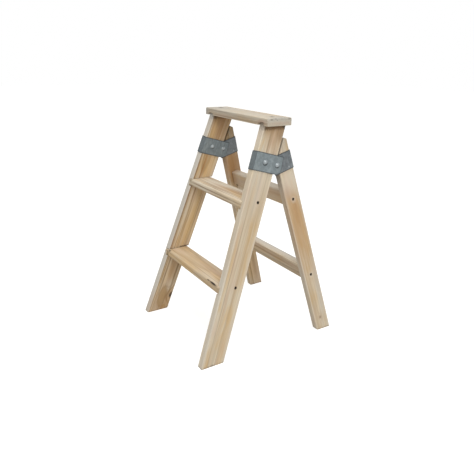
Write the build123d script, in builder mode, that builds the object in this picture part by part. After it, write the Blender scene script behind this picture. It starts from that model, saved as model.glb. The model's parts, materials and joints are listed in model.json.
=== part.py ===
"""Wooden stepladder: a front frame with two treads and a cap, and a rear frame that folds on strap hinges.

Millimetres. +Z is up, +Y runs from the climbing side to the rear, and +X is the climber's right.
The origin is on the floor, midway between the four feet.
"""
import os
from math import atan, cos, radians, sin, tan

from build123d import *

os.makedirs("parts", exist_ok=True)

# Overall
top_height = 750  # floor to the top of the cap
floor_half_width = 224  # centre line to the outer face of a stile at the floor
splay = 4.8  # each side leans in towards the top, degrees

# Side boards of both frames
side_thickness = 26
arris = 3  # rounding of the long corners
saw_allowance = 10  # extra length that the end cuts take off

# Front frame
stile_width = 77
stile_lean = 18.8  # from upright, in the plane of the board, degrees
tread_levels = {"lower": 250, "upper": 508}  # floor to tread top
tread_thickness = 26
tread_depth = 79
tread_overhang = 5  # past the front edge of the stiles
nosing_radius = 6
tread_housing = 12  # depth that a tread end is let into the stile
tread_screw_setback = 48  # from the stile's front edge
tread_screw_drop = 8  # below the tread top

# Cap
cap_thickness = 23
cap_front_overhang = 4
cap_rear_overhang = 4
cap_end_overhang = 22
cap_arris = 4
cap_housing = 7  # depth that a stile top is let into the cap
cap_housing_play = 1  # beside the stile
cap_screw_setback = 40  # from the cap's front edge

# Rear frame
leg_width = 56
leg_lean = 16.4  # slope of the rear frame, degrees
lower_rail_level = 222  # front toe of the leg to the rail's centre, along the leg
upper_rail_gap = 71.5  # rear strap to the upper rail, along the leg
rail_height = 54
rail_thickness = 26
rail_arris = 2.5
rail_housing = 8  # depth that a rail end is let into the leg
leg_tip = 85  # pivot to the blunt top of the leg, along the stile
stop_gap = 3  # open line between the bevelled leg top and the stile

# Strap hinge
hinge_drop = 119  # cap underside to the pivot
pivot_clear = 3.4  # pivot axis to the rear edge of the stile, at its outer face
leg_clear = 2.8  # pivot axis to the front edge of the leg
sheet = 1.5
bend_radius = 2
strap_height = 58
front_strap_drop = 5.7  # strap centre below the pivot, at the stile's front edge
front_strap_rake = 3.5  # rise to the rear, off square to the stile, degrees
front_strap_reach = 22  # past the stile's rear edge
clip_length = 20  # lower rear corner cut off the front strap
clip_height = 10
crank_start = 46  # where the front strap steps out, from the stile's front edge
crank_length = 16
rear_strap_drop = 1.5  # strap centre below the pivot, along the leg
rear_strap_reach = 17  # past the leg's front edge
rear_strap_lap = 6.5  # over the stile when open
strap_slack = 0.7  # between the rear strap and the board faces
strap_gap = 0.9  # between the nested straps

# Rivets
rivet_diameter = 5
rivet_play = 0.06
rivet_head_diameter = 16
rivet_head_height = 5.5
stile_rivet_setback = 36  # from the stile's front edge
stile_rivet_drop = 2.2  # below the pivot, along the stile

# Nails of the rear straps
nail_width = 2.6  # square shank
nail_length = 10
nail_head_diameter = 6
nail_head_height = 1
nail_play = 0.1
nail_setback = 39  # from the leg's front edge
nail_drop = 22.5  # below the pivot, along the leg

# Wood screws
screw_length = 45
screw_diameter = 4
screw_sides = 6  # flats of the plain shank that stands for the thread
screw_head_diameter = 6.5
screw_head_height = 2.5
screw_sink = 3  # head below the surface of the wood
screw_play = 0.1
drill_start = 1  # above a slanting face

# Sizes that follow from the slopes
splay_sin = sin(radians(splay))
splay_cos = cos(radians(splay))
splay_run = tan(radians(splay))
stile_sin = sin(radians(stile_lean))
stile_cos = cos(radians(stile_lean))
stile_view_lean = atan(stile_sin / stile_cos / splay_cos)
leg_sin = sin(radians(leg_lean))
leg_cos = cos(radians(leg_lean))
cap_underside = top_height - cap_thickness
stile_top = cap_underside + cap_housing
front_stand_off = strap_slack + sheet + strap_gap

# Pivot, from the front toe of a stile
pivot_z = cap_underside - hinge_drop
pivot_along = (pivot_z / splay_cos + (stile_width + pivot_clear) * stile_sin) / stile_cos
pivot_run = (stile_width + pivot_clear) * stile_cos + pivot_along * stile_sin
heel_run = (leg_clear + leg_width) / leg_cos + pivot_z * leg_sin / leg_cos
stance = pivot_run + heel_run  # front toe to rear heel
toe_y = -stance / 2
pivot_y = toe_y + pivot_run
pivot_face_x = floor_half_width - splay_run * pivot_z

# Places along the leg from the pivot, and the rails from the front toe of the leg
leg_toe = -(pivot_z + leg_clear * leg_sin) / (leg_cos * splay_cos)
rear_strap_low = -rear_strap_drop - strap_height / 2
rail_levels = {
    "lower": lower_rail_level,
    "upper": rear_strap_low - upper_rail_gap - rail_height / 2 - leg_toe,
}

# Frames of the right side: x is square to the board towards the rear, y runs up it, z is outward.
# The stile frame starts at the front toe, and the leg frame at the pivot.
stile_frame = Plane(
    origin=(floor_half_width, toe_y, 0),
    x_dir=(splay_sin * stile_sin, stile_cos, -splay_cos * stile_sin),
    z_dir=(splay_cos, 0, splay_sin),
)
leg_frame = Plane(
    origin=(pivot_face_x, pivot_y, pivot_z),
    x_dir=(0, leg_cos, leg_sin),
    z_dir=(splay_cos, -splay_sin * leg_sin, splay_sin * leg_cos),
)
stile_rear_plane = Plane(
    origin=stile_frame.from_local_coords((stile_width, 0, 0)),
    x_dir=stile_frame.z_dir,
    z_dir=stile_frame.x_dir,
)
leg_tip_plane = Plane(
    origin=stile_frame.from_local_coords((0, pivot_along + leg_tip, 0)),
    x_dir=stile_frame.x_dir,
    z_dir=stile_frame.y_dir,
)


def outer_x(height):
    """Half width over the outer faces of the stiles at a height."""
    return floor_half_width - splay_run * height


def stile_front_y(height):
    """Place of the stiles' front edge at a height."""
    return toe_y + tan(stile_view_lean) * height


def mirrored(plane):
    """The same plane on the left side."""
    return Plane(
        origin=(-plane.origin.X, plane.origin.Y, plane.origin.Z),
        x_dir=(-plane.x_dir.X, plane.x_dir.Y, plane.x_dir.Z),
        z_dir=(-plane.z_dir.X, plane.z_dir.Y, plane.z_dir.Z),
    )


def finish(piece, label):
    """Name a piece and write it."""
    piece.label = label
    export_step(piece, f"parts/{label}.step")


def finish_pair(piece, label):
    """Write a right-hand piece and its mirror image."""
    finish(piece, f"right_{label}")
    with BuildPart() as left:
        mirror(piece, about=Plane.YZ)
    finish(left.part, f"left_{label}")


# Seats of the fasteners, with z pointing out of the hole
tread_seats = {}
for position, level in tread_levels.items():
    height = level - tread_screw_drop
    tread_seats[position] = Plane(
        origin=(outer_x(height), stile_front_y(height) + tread_screw_setback / stile_cos, height),
        x_dir=(0, 1, 0),
        z_dir=(1, 0, 0),
    )

rail_seats = {}
for position, level in rail_levels.items():
    rail_seats[position] = Plane(
        origin=leg_frame.from_local_coords((leg_clear + leg_width / 2, leg_toe + level, 0)),
        x_dir=(0, leg_cos, leg_sin),
        z_dir=(1, 0, 0),
    )

cap_front_y = stile_front_y(cap_underside) - cap_front_overhang
cap_seat = Plane(
    origin=(outer_x(stile_top) - side_thickness / 2, cap_front_y + cap_screw_setback, top_height)
)

stile_rivet_seat = Plane(
    origin=stile_frame.from_local_coords((stile_rivet_setback, pivot_along - stile_rivet_drop, 0)),
    x_dir=stile_frame.x_dir,
    z_dir=stile_frame.z_dir,
)
pivot_seat = Plane(origin=(pivot_face_x, pivot_y, pivot_z), x_dir=(0, 1, 0), z_dir=(1, 0, 0))

nail_seats = []
for depth, facing in ((strap_slack + sheet, 1), (-side_thickness - strap_slack - sheet, -1)):
    nail_seats.append(
        Plane(
            origin=leg_frame.from_local_coords((leg_clear + nail_setback, -nail_drop, depth)),
            x_dir=leg_frame.x_dir,
            z_dir=leg_frame.z_dir * facing,
        )
    )

rivet_bore = rivet_diameter / 2 + rivet_play


# Wood screw about the z axis of its seat, and the stepped hole that it fills
under_head = -screw_sink - screw_head_height
with BuildPart() as screw:
    with BuildSketch(Plane.XY.offset(under_head)):
        Circle(screw_head_diameter / 2)
    extrude(amount=screw_head_height)
    with BuildSketch(Plane.XY.offset(under_head)):
        RegularPolygon(screw_diameter / 2, side_count=screw_sides)
    extrude(amount=screw_head_height - screw_length)
with BuildPart() as screw_hole:
    with BuildSketch(Plane.XY.offset(under_head)):
        Circle(screw_head_diameter / 2 + screw_play)
    extrude(amount=drill_start - under_head)
    with BuildSketch(Plane.XY.offset(under_head)):
        RegularPolygon(screw_diameter / 2 + screw_play, side_count=screw_sides)
    extrude(amount=screw_head_height - screw_length - screw_play)

# Nail about the z axis of its seat, and its hole
with BuildPart() as nail:
    Cylinder(nail_head_diameter / 2, nail_head_height, align=(Align.CENTER, Align.CENTER, Align.MIN))
    Box(nail_width, nail_width, nail_length, align=(Align.CENTER, Align.CENTER, Align.MAX))
with BuildPart() as nail_hole:
    nail_hole_width = nail_width + 2 * nail_play
    Box(nail_hole_width, nail_hole_width, 2 * (nail_length + nail_play))


def drill(hole, *seats):
    """Cut the same hole at each seat."""
    with Locations(*seats):
        add(hole.part, mode=Mode.SUBTRACT)


def tread_elevation(level):
    """Front view of a tread whose ends are cut to the splay."""
    let_in = (side_thickness - tread_housing) / splay_cos
    underside = level - tread_thickness
    low_x = outer_x(underside) - let_in
    high_x = outer_x(level) - let_in
    Polygon((-low_x, underside), (low_x, underside), (high_x, level), (-high_x, level), align=None)


# Stiles, with a housing for each tread across the inner face
with BuildPart() as stile:
    with BuildSketch(stile_frame):
        with Locations((0, -saw_allowance)):
            Rectangle(
                stile_width,
                (stile_top / splay_cos + stile_width * stile_sin) / stile_cos + 2 * saw_allowance,
                align=(Align.MIN, Align.MIN),
            )
    extrude(amount=-side_thickness)
    fillet(stile.edges().filter_by(Axis((0, 0, 0), stile_frame.y_dir)), radius=arris)
    split(bisect_by=Plane.XY, keep=Keep.TOP)
    split(bisect_by=Plane.XY.offset(stile_top), keep=Keep.BOTTOM)
    for position, level in tread_levels.items():
        with BuildSketch(Plane.XZ):
            tread_elevation(level)
        extrude(amount=stance, both=True, mode=Mode.SUBTRACT)
    drill(screw_hole, cap_seat, *tread_seats.values())
    with Locations(stile_rivet_seat):
        Hole(radius=rivet_bore)
finish_pair(stile.part, "stile")

# Treads, level boards with a rounded nosing
for position, level in tread_levels.items():
    back_y = stile_front_y(level) - tread_overhang + tread_depth
    with BuildPart() as tread:
        with BuildSketch(Plane.XZ.offset(-back_y)):
            tread_elevation(level)
        extrude(amount=tread_depth)
        long_edges = tread.edges().filter_by(Axis.X).group_by(Axis.Y)
        fillet(long_edges[0], radius=nosing_radius)
        fillet(long_edges[-1], radius=arris)
        drill(screw_hole, tread_seats[position], mirrored(tread_seats[position]))
    finish(tread.part, f"{position}_tread")

# Cap, with a housing across the underside for each stile top
cap_depth = cap_front_overhang + stile_width / stile_cos + cap_rear_overhang
cap_length = 2 * (outer_x(cap_underside) + cap_end_overhang)
housing_width = side_thickness / splay_cos
with BuildPart() as cap:
    with BuildSketch(Plane.XY.offset(cap_underside)):
        with Locations((0, cap_front_y + cap_depth / 2)):
            Rectangle(cap_length, cap_depth)
    extrude(amount=cap_thickness)
    fillet(cap.faces().sort_by(Axis.Z)[-1].edges() + cap.edges().filter_by(Axis.Z), radius=cap_arris)
    for side in (1, -1):
        with BuildSketch(Plane.XZ):
            Polygon(
                (side * (outer_x(cap_underside) + cap_housing_play), cap_underside),
                (side * (outer_x(stile_top) + cap_housing_play), stile_top),
                (side * (outer_x(stile_top) - housing_width - cap_housing_play), stile_top),
                (side * (outer_x(cap_underside) - housing_width - cap_housing_play), cap_underside),
                align=None,
            )
        extrude(amount=stance, both=True, mode=Mode.SUBTRACT)
    drill(screw_hole, cap_seat, mirrored(cap_seat))
finish(cap.part, "top_cap")

# Rear rails, with their ends cut to the splay and let into the legs
rail_end = leg_frame.offset(rail_housing - side_thickness)
rail_blanks = []
for position, seat in rail_seats.items():
    with BuildPart() as blank:
        with BuildSketch(Plane(origin=(0, seat.origin.Y, seat.origin.Z), x_dir=seat.x_dir, z_dir=seat.z_dir)):
            Rectangle(rail_thickness, rail_height)
        extrude(amount=floor_half_width, both=True)
        split(bisect_by=rail_end, keep=Keep.BOTTOM)
        split(bisect_by=mirrored(rail_end), keep=Keep.BOTTOM)
    rail_blanks.append(blank.part)
    with BuildPart() as rail:
        add(blank.part)
        fillet(rail.edges().filter_by(Axis.X), radius=rail_arris)
        drill(screw_hole, seat, mirrored(seat))
    finish(rail.part, f"{position}_rear_rail")

# Rear legs, with a top bevelled along the stile and a blunt tip
with BuildPart() as leg:
    with BuildSketch(leg_frame):
        leg_low = leg_toe - leg_width * leg_sin / leg_cos - saw_allowance
        with Locations((leg_clear, leg_low)):
            Rectangle(leg_width, leg_tip + saw_allowance - leg_low, align=(Align.MIN, Align.MIN))
    extrude(amount=-side_thickness)
    fillet(leg.edges().filter_by(Axis((0, 0, 0), leg_frame.y_dir)), radius=arris)
    split(bisect_by=Plane.XY, keep=Keep.TOP)
    split(bisect_by=stile_rear_plane.offset(stop_gap), keep=Keep.TOP)
    split(bisect_by=leg_tip_plane, keep=Keep.BOTTOM)
    for rail_blank in rail_blanks:
        add(rail_blank, mode=Mode.SUBTRACT)
    drill(screw_hole, *rail_seats.values())
    drill(nail_hole, *nail_seats)
finish_pair(leg.part, "rear_leg")

# Front straps, sheet bent round the stile and stepped out to nest over the rear strap
front_strap_end = stile_width + front_strap_reach
front_strap_centre = pivot_along - front_strap_drop
rake_sin = sin(radians(front_strap_rake))
rake_cos = cos(radians(front_strap_rake))
outer_skin = -sheet / 2
inner_skin = side_thickness + sheet / 2
with BuildPart() as front_strap:
    with BuildSketch(
        Plane(
            origin=stile_frame.from_local_coords((0, front_strap_centre, 0)),
            x_dir=stile_frame.x_dir,
            z_dir=stile_frame.y_dir,
        )
    ):
        with BuildLine():
            FilletPolyline(
                (front_strap_end, outer_skin - front_stand_off),
                (crank_start + crank_length, outer_skin - front_stand_off),
                (crank_start, outer_skin),
                (outer_skin, outer_skin),
                (outer_skin, inner_skin),
                (crank_start, inner_skin),
                (crank_start + crank_length, inner_skin + front_stand_off),
                (front_strap_end, inner_skin + front_stand_off),
                radius=bend_radius,
            )
        trace(line_width=sheet)
    extrude(amount=strap_height, both=True)
    with BuildSketch(
        Plane(
            origin=stile_frame.from_local_coords((0, front_strap_centre, 0)),
            x_dir=stile_frame.x_dir * rake_cos + stile_frame.y_dir * rake_sin,
            z_dir=stile_frame.z_dir,
        )
    ):
        Polygon(
            (-stile_width, -strap_height / 2),
            (front_strap_end - clip_length, -strap_height / 2),
            (front_strap_end, clip_height - strap_height / 2),
            (front_strap_end, strap_height / 2),
            (-stile_width, strap_height / 2),
            align=None,
        )
    extrude(amount=side_thickness * 2, both=True, mode=Mode.INTERSECT)
    with Locations(stile_rivet_seat, pivot_seat):
        Hole(radius=rivet_bore)
finish_pair(front_strap.part, "front_strap")

# Rear straps, sheet bent round the leg, with the corner that would lap the stile cut off
rear_strap_front = leg_clear - rear_strap_reach
rear_strap_web = leg_clear + leg_width + sheet / 2
rear_outer_skin = -strap_slack - sheet / 2
rear_inner_skin = side_thickness + strap_slack + sheet / 2
with BuildPart() as rear_strap:
    with BuildSketch(
        Plane(
            origin=leg_frame.from_local_coords((0, rear_strap_low, 0)),
            x_dir=leg_frame.x_dir,
            z_dir=leg_frame.y_dir,
        )
    ):
        with BuildLine():
            FilletPolyline(
                (rear_strap_front, rear_outer_skin),
                (rear_strap_web, rear_outer_skin),
                (rear_strap_web, rear_inner_skin),
                (rear_strap_front, rear_inner_skin),
                radius=bend_radius,
            )
        trace(line_width=sheet)
    extrude(amount=strap_height)
    split(bisect_by=stile_rear_plane.offset(-rear_strap_lap), keep=Keep.TOP)
    drill(nail_hole, *nail_seats)
    with Locations(pivot_seat):
        Hole(radius=rivet_bore)
finish_pair(rear_strap.part, "rear_strap")


def rivet(seat, stand_off):
    """Rivet whose two domed heads bear on front strap plates that stand off the stile."""
    bearing = stand_off + sheet
    slope = stile_frame.z_dir.dot(seat.z_dir)
    high = bearing / slope
    low = -(side_thickness + bearing) / slope
    rim = rivet_head_diameter / 2
    dome_radius = (rim**2 + rivet_head_height**2) / (2 * rivet_head_height)
    with BuildPart() as piece:
        with BuildSketch(Plane(origin=seat.origin, x_dir=seat.x_dir, z_dir=-seat.y_dir)):
            for base, outward in ((high, 1), (low, -1)):
                crown = base + outward * rivet_head_height
                inside = base - outward * rivet_head_height
                with BuildLine():
                    Polyline((0, crown), (0, inside), (rim, inside), (rim, base))
                    RadiusArc((rim, base), (0, crown), radius=-outward * dome_radius)
                make_face()
        revolve(axis=Axis(seat.origin, seat.z_dir))
        with BuildSketch(Plane(origin=seat.origin, z_dir=stile_frame.z_dir).offset(bearing)):
            Circle(rivet_head_diameter)
        extrude(amount=-side_thickness - 2 * bearing, mode=Mode.SUBTRACT)
        with BuildSketch(seat.offset(low - rivet_head_height / 2)):
            Circle(rivet_diameter / 2)
        extrude(amount=high - low + rivet_head_height)
    return piece.part


# Rivets: one through each stile, one through all the hinge plates of each side
for seat, stand_off, label in (
    (stile_rivet_seat, 0, "stile_rivets"),
    (pivot_seat, front_stand_off, "pivot_rivets"),
):
    right_rivet = rivet(seat, stand_off)
    with BuildPart() as rivets:
        add(right_rivet)
        mirror(right_rivet, about=Plane.YZ)
    finish(rivets.part, label)

# Nails of the rear straps, and screws of the treads, rails and cap
fastener_groups = {"strap_nails": (nail, nail_seats), "cap_screws": (screw, [cap_seat])}
for position, seat in tread_seats.items():
    fastener_groups[f"{position}_tread_screws"] = (screw, [seat])
for position, seat in rail_seats.items():
    fastener_groups[f"{position}_rail_screws"] = (screw, [seat])
for label, (fastener, seats) in fastener_groups.items():
    with BuildPart() as group:
        for seat in seats:
            with Locations(seat, mirrored(seat)):
                add(fastener.part)
    finish(group.part, label)
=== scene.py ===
"""Looks of a folding wooden stepladder: pine boards, galvanised hinge straps, rivets, nails and screws."""

import json
import logging
from abc import ABC, abstractmethod
from dataclasses import dataclass, field
from enum import Enum
from math import cos, pi, radians, sin, tan
from typing import Any, Callable, Iterable

import bmesh
import bpy
from mathutils import Matrix, Vector


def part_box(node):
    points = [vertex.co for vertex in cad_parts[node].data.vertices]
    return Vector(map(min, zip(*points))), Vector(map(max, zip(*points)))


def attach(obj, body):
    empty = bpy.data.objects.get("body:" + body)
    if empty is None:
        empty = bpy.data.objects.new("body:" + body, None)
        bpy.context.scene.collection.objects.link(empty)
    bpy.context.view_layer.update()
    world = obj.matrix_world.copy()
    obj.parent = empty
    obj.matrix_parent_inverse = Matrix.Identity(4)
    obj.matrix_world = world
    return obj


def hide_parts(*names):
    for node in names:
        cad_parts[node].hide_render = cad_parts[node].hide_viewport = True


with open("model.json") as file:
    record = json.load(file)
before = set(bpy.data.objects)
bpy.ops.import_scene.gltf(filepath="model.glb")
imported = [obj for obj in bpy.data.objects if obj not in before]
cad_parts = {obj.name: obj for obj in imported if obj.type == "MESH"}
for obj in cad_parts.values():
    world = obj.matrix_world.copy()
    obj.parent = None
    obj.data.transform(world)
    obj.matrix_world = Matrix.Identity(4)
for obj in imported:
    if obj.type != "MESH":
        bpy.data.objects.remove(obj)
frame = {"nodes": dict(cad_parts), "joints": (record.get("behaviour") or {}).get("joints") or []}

logging.basicConfig(level=logging.INFO, format="%(message)s")
log = logging.getLogger("stepladder")

MM = 0.001
SMOOTH = {"interpolation_type": "SMOOTHSTEP"}
Socket = bpy.types.NodeSocket
Tree = bpy.types.NodeTree
Pair = tuple[float, float]
Triple = tuple[float, float, float]
Colour = tuple[float, float, float, float]
Layer = tuple[Socket, str]
Maker = tuple[Callable[[], bmesh.types.BMesh], bpy.types.Material]


class Body(Enum):
    """The two moving frames of the ladder."""

    FRONT = "front_frame"
    REAR = "rear_frame"


class Side(Enum):
    """The two sides of the ladder, as the sign of x."""

    RIGHT = 1
    LEFT = -1

    def named(self, piece: str) -> str:
        """Name of a piece on this side."""
        return f"{self.name.lower()}_{piece}"


class Level(Enum):
    """The two levels of the treads and of the rails."""

    LOWER = "lower"
    UPPER = "upper"

    def named(self, piece: str) -> str:
        """Name of a piece at this level."""
        return f"{self.value}_{piece}"


class Fastener(Enum):
    """Kinds of fastener that get a finer form here, by their material slot in the record."""

    SCREW = "screw_steel"
    NAIL = "nail_steel"


class Tint(Enum):
    """Colours that grow in the wood, soak into it or are smeared onto it; the dark ones also lay painted
    shade where less light falls.
    """

    BARK = "#2A1D15"
    UMBER = "#7A5836"
    RUST = "#B0814E"
    TAN = "#BE9F74"
    HONEY = "#D8B47C"
    PALE = "#E3DACA"
    BLOOM = "#D3D1CA"
    GREY = "#AEA99F"
    ROSE = "#B4917D"
    # Grime, and also painted shade in gaps, corners and joints and under the cap
    GRIME = "#4A3B2D"


def linear(shade: str) -> Colour:
    """Turn an sRGB hex colour to linear.

    Args:
        shade: A colour such as "#D8C4A0".

    Returns:
        Red, green, blue and alpha, linear.
    """
    parts = [int(shade[i : i + 2], 16) / 255 for i in (1, 3, 5)]
    rgb = [c / 12.92 if c <= 0.04045 else ((c + 0.055) / 1.055) ** 2.4 for c in parts]
    return rgb[0], rgb[1], rgb[2], 1.0


def add_node(tree: Tree, kind: str, feeds: dict[Any, Any] | None = None, **settings: Any) -> bpy.types.Node:
    """Add a node with its settings and links.

    Args:
        tree: The node tree.
        kind: The node's type, without its ShaderNode prefix.
        feeds: For each input's name or number, a value or another node's output.
        settings: The node's own properties.

    Returns:
        The new node.
    """
    node = tree.nodes.new(f"ShaderNode{kind}")
    for name, value in settings.items():
        setattr(node, name, value)
    for key, value in (feeds or {}).items():
        if isinstance(value, Socket):
            tree.links.new(value, node.inputs[key])
        else:
            node.inputs[key].default_value = value
    return node


def new_material(name: str) -> tuple[bpy.types.Material, Tree]:
    """Start a material.

    Args:
        name: The material's name.

    Returns:
        The material and its empty node tree.
    """
    material = bpy.data.materials.new(name)
    material.use_nodes = True
    material.node_tree.nodes.clear()
    return material, material.node_tree


def close_material(tree: Tree, feeds: dict[str, Any]) -> None:
    """Join a finish to its surface shader.

    Args:
        tree: The node tree.
        feeds: For each of the shader's inputs, a value or another node's output.
    """
    surface = add_node(tree, "BsdfPrincipled", feeds)
    add_node(tree, "OutputMaterial", {"Surface": surface.outputs["BSDF"]})


def lay_over(tree: Tree, ground: Socket | Colour, layers: Iterable[Layer]) -> Socket | Colour:
    """Lay coats of colour over a ground.

    Args:
        tree: The node tree.
        ground: The colour below them.
        layers: A mask and an sRGB hex colour for each coat, from the lowest up.

    Returns:
        The colour that shows.
    """
    for mask, shade in layers:
        coat = {0: mask, 6: ground, 7: linear(shade)}
        ground = add_node(tree, "Mix", coat, data_type="RGBA").outputs[2]
    return ground


@dataclass(frozen=True)
class Fade:
    """How a mask grows: where it starts, where it is full, and how strong it is there and at the start."""

    start: float
    full: float
    most: float = 1.0
    least: float = 0.0

    def feeds(self, value: Socket, zero: float = 0.0, unit: float = 1.0) -> dict[str, Any]:
        """Inputs of the mask's node.

        Args:
            value: What the mask follows.
            zero: The place that its start and its full end are counted from.
            unit: The unit that they and that place are given in.

        Returns:
            A value or another node's output for each input.
        """
        span = {"From Min": (zero + self.start) * unit, "From Max": (zero + self.full) * unit}
        return {"Value": value, **span, "To Min": self.least, "To Max": self.most}


@dataclass(frozen=True)
class Streak:
    """Noise drawn out along a piece: a streak's size in millimetres, its finer layers and its seed."""

    size: Triple
    detail: float
    seed: float = 0.0

    def noise(self, tree: Tree, local: Socket, seed: float | None = None) -> bpy.types.Node:
        """Add the noise.

        Args:
            tree: The node tree.
            local: The piece's own coordinates.
            seed: The piece's own seed, or None.

        Returns:
            The noise's node, with a value from 0 to 1 and a colour of three such values.
        """
        drawn = add_node(tree, "VectorMath", {0: local, 1: self.size}, operation="DIVIDE").outputs[0]
        feeds = {"Vector": drawn, "Scale": 1.0, "Detail": self.detail}
        if seed is None:
            return add_node(tree, "TexNoise", feeds)
        return add_node(tree, "TexNoise", {**feeds, "W": seed + self.seed}, noise_dimensions="4D")


@dataclass(frozen=True)
class Lie:
    """How a piece lies: a point on its middle line, and the directions along and across it."""

    origin: Vector
    along: Vector
    across: Vector

    def flat(self, point: Vector) -> Triple:
        """A point of the ladder in the piece's own millimetres, laid on its face."""
        away = point - self.origin
        return away.dot(self.along), away.dot(self.across), 0.0

    def local(self, tree: Tree, place: Socket) -> Socket:
        """The piece's own coordinates in millimetres: along, across and through.

        Args:
            tree: The node tree.
            place: Object coordinates.

        Returns:
            The coordinates' socket.
        """
        axes = Matrix((self.along, self.across, self.along.cross(self.across)))
        turn = axes.transposed().to_euler()
        feeds = {"Vector": place, "Location": self.origin * MM, "Rotation": turn, "Scale": (MM, MM, MM)}
        return add_node(tree, "Mapping", feeds, vector_type="TEXTURE").outputs[0]


@dataclass(frozen=True)
class Joint:
    """The inner face of the right board that a cross board goes into: the way out, and how far out it is."""

    outward: Vector
    distance: float


@dataclass(frozen=True)
class Upright:
    """A stile or a rear leg: where its toe starts, and its directions up, to the rear and outward."""

    start: Vector
    along: Vector
    across: Vector
    out: Vector

    def point(self, along: float, across: float, out: float) -> Vector:
        """A place on it in the ladder's millimetres, counted from its start."""
        return self.start + self.along * along + self.across * across + self.out * out

    def lie(self, along: float, across: float, out: float) -> Lie:
        """How a piece lies that runs along it from such a place."""
        return Lie(self.point(along, across, out), self.along, self.across)

    def inner_face(self, thickness: float) -> Joint:
        """The face that cross boards go into, by the board's thickness."""
        return Joint(self.out, self.out.dot(self.point(0, 0, -thickness)))


@dataclass(frozen=True)
class Mark:
    """A knot, streak, patch, stain or painted shade in a board, in the board's own millimetres.

    The size is half its length, width and depth, and the blur is the share of the size over which it fades.
    A knot also pushes the growth rings aside, out to its reach in times its size.
    """

    at: Triple
    size: Triple
    tint: Tint
    strength: float = 0.5
    blur: float = 0.8
    push: float = 0.0
    reach: float = 3.0


def iron_stain(at: Triple) -> Mark:
    """The dark ring round a sunk screw: iron stain in the wood, and painted shade in the hole."""
    return Mark(at, (5, 4.6, 5), Tint.BARK, 1.0, 0.3)


@dataclass(frozen=True)
class Figure:
    """How a board was cut from its tree, in millimetres and degrees.

    The heart is the middle of the tree, as an offset across and through the board, and the drift is how far
    the board leans from it. Warmth goes from pale outer wood, 0, to tan inner wood, 1, contrast is how dark
    the late wood gets, and veins how dark the broken lines of resin are.
    """

    heart: Pair
    drift: Pair
    ring: float
    warmth: float
    contrast: float
    seed: float
    veins: float = 0.3


@dataclass(frozen=True)
class Board:
    """A board of the ladder: where its wood runs, and what grew in it.

    The joint is where the board goes into its neighbours, and the ceiling is the height at which another
    board lies on it, or 0.
    """

    node: str
    lie: Lie
    width: float
    thickness: float
    figure: Figure
    marks: tuple[Mark, ...] = ()
    joint: Joint | None = None
    ceiling: float = 0.0


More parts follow.
